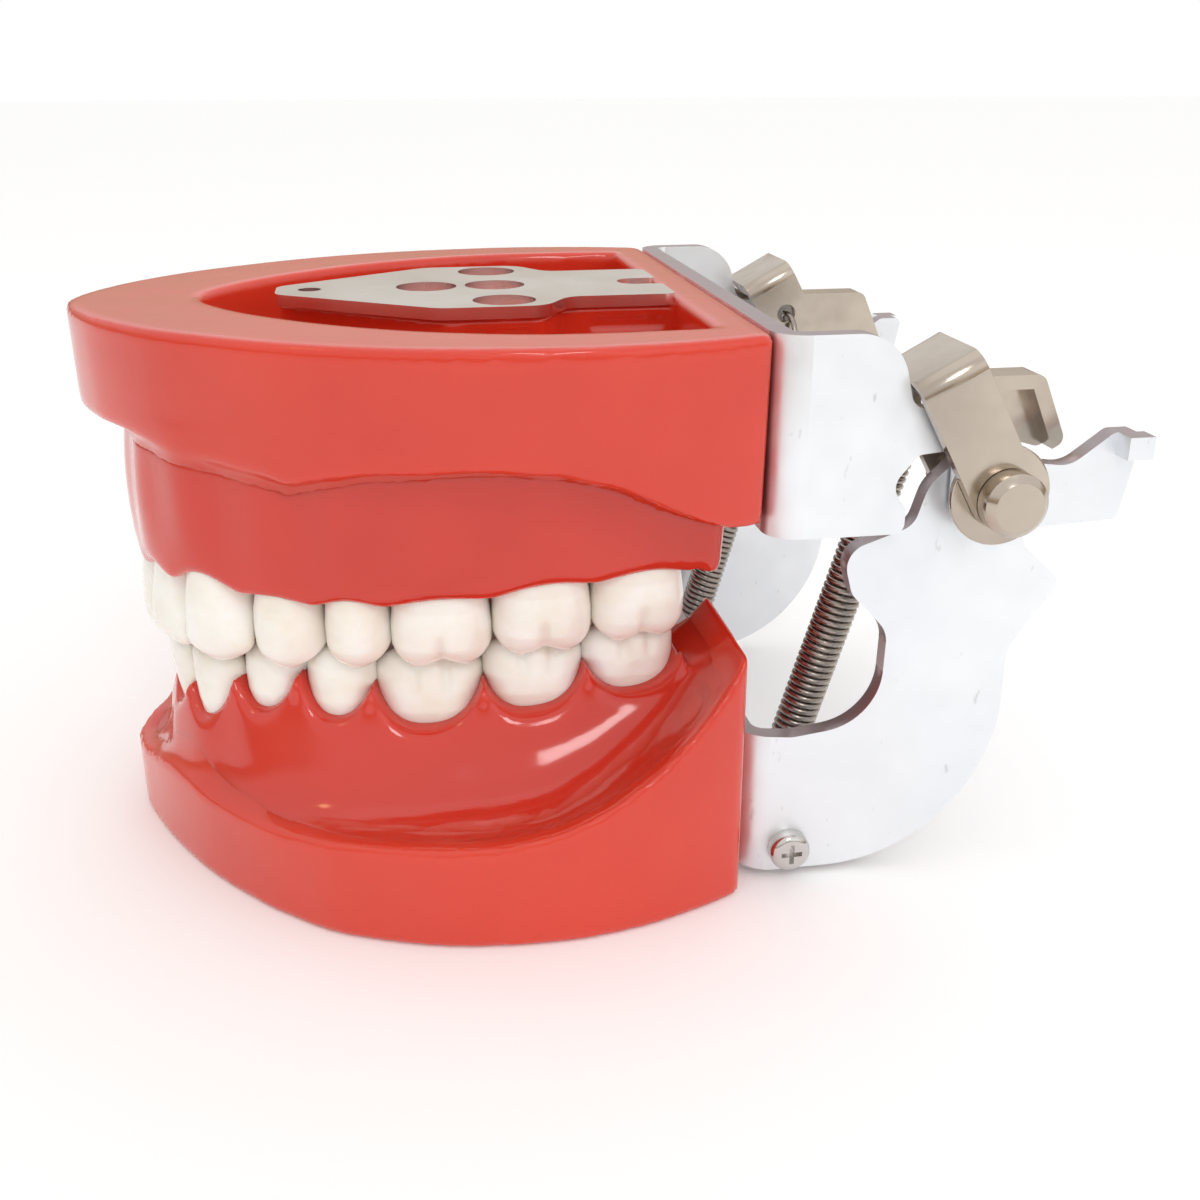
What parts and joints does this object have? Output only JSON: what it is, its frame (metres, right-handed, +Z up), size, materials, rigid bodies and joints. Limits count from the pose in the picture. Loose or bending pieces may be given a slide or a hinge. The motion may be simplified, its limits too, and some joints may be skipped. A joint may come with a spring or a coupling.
{
  "type": "typodont model",
  "caption": "Dental typodont: upper and lower jaw bases with gingiva and separate teeth on a sprung sheet-metal hinge frame with release levers.",
  "frame": {"origin": "under the middle of the whole model, on the plane that the lower base stands on", "axes": "+X to the patient's left, the mouth looks toward -Y and the hinge frame is at +Y, +Z up"},
  "size_m": [0.0756, 0.1026, 0.058],
  "materials": {
    "base_resin": "glossy translucent acrylic",
    "gingiva_resin": "glossy, slightly translucent",
    "tooth_enamel": "glossy melamine resin",
    "plate_steel": "polished sheet",
    "frame_aluminium": "satin anodised",
    "lever_nickel": "nickel plated",
    "spring_steel": "drawn wire",
    "screw_steel": "nickel plated",
    "screw_brass": "machined",
    "pin_nickel": "nickel plated"
  },
  "bodies": {
    "lower_jaw": {"hinge_pin_clips": "pin_nickel", "hinge_pin_left": "pin_nickel", "hinge_pin_right": "pin_nickel", "hinge_washers": "pin_nickel", "lower_base": "base_resin", "lower_frame": "frame_aluminium", "lower_frame_screws": "screw_steel", "lower_gingiva": "gingiva_resin", "lower_mount_plate": "plate_steel", "lower_tooth_screws": "screw_brass", "spring_anchor_screws": "screw_steel", "spring_left": "spring_steel", "spring_right": "spring_steel", "tooth_31": "tooth_enamel", "tooth_32": "tooth_enamel", "tooth_33": "tooth_enamel", "tooth_34": "tooth_enamel", "tooth_35": "tooth_enamel", "tooth_36": "tooth_enamel", "tooth_37": "tooth_enamel", "tooth_38": "tooth_enamel", "tooth_41": "tooth_enamel", "tooth_42": "tooth_enamel", "tooth_43": "tooth_enamel", "tooth_44": "tooth_enamel", "tooth_45": "tooth_enamel", "tooth_46": "tooth_enamel", "tooth_47": "tooth_enamel", "tooth_48": "tooth_enamel"},
    "upper_jaw": {"tooth_11": "tooth_enamel", "tooth_12": "tooth_enamel", "tooth_13": "tooth_enamel", "tooth_14": "tooth_enamel", "tooth_15": "tooth_enamel", "tooth_16": "tooth_enamel", "tooth_17": "tooth_enamel", "tooth_18": "tooth_enamel", "tooth_21": "tooth_enamel", "tooth_22": "tooth_enamel", "tooth_23": "tooth_enamel", "tooth_24": "tooth_enamel", "tooth_25": "tooth_enamel", "tooth_26": "tooth_enamel", "tooth_27": "tooth_enamel", "tooth_28": "tooth_enamel", "upper_base": "base_resin", "upper_frame": "frame_aluminium", "upper_frame_screws": "screw_steel", "upper_gingiva": "gingiva_resin", "upper_mount_plate": "plate_steel", "upper_tooth_screws": "screw_brass"},
    "lever_left": {"lever_left": "lever_nickel"},
    "lever_right": {"lever_right": "lever_nickel"}
  },
  "joints": [
    {"name": "jaw_hinge", "type": "hinge", "parent": "lower_jaw", "child": "upper_jaw", "pos_m": [0, 0.03695, 0.0421], "axis": [-1, 0, 0], "range_deg": [0, 55], "stiffness_Nm_per_rad": 0.03, "springref_deg": -28.65, "deforming": ["spring_left", "spring_right"]},
    {"name": "lever_left_hinge", "type": "hinge", "parent": "upper_jaw", "child": "lever_left", "pos_m": [0, 0.03695, 0.0421], "axis": [-1, 0, 0], "range_deg": [0, 70], "stiffness_Nm_per_rad": 0.01, "springref_deg": -28.65},
    {"name": "lever_right_hinge", "type": "hinge", "parent": "upper_jaw", "child": "lever_right", "pos_m": [0, 0.03695, 0.0421], "axis": [-1, 0, 0], "range_deg": [0, 70], "stiffness_Nm_per_rad": 0.01, "springref_deg": -28.65}
  ]
}
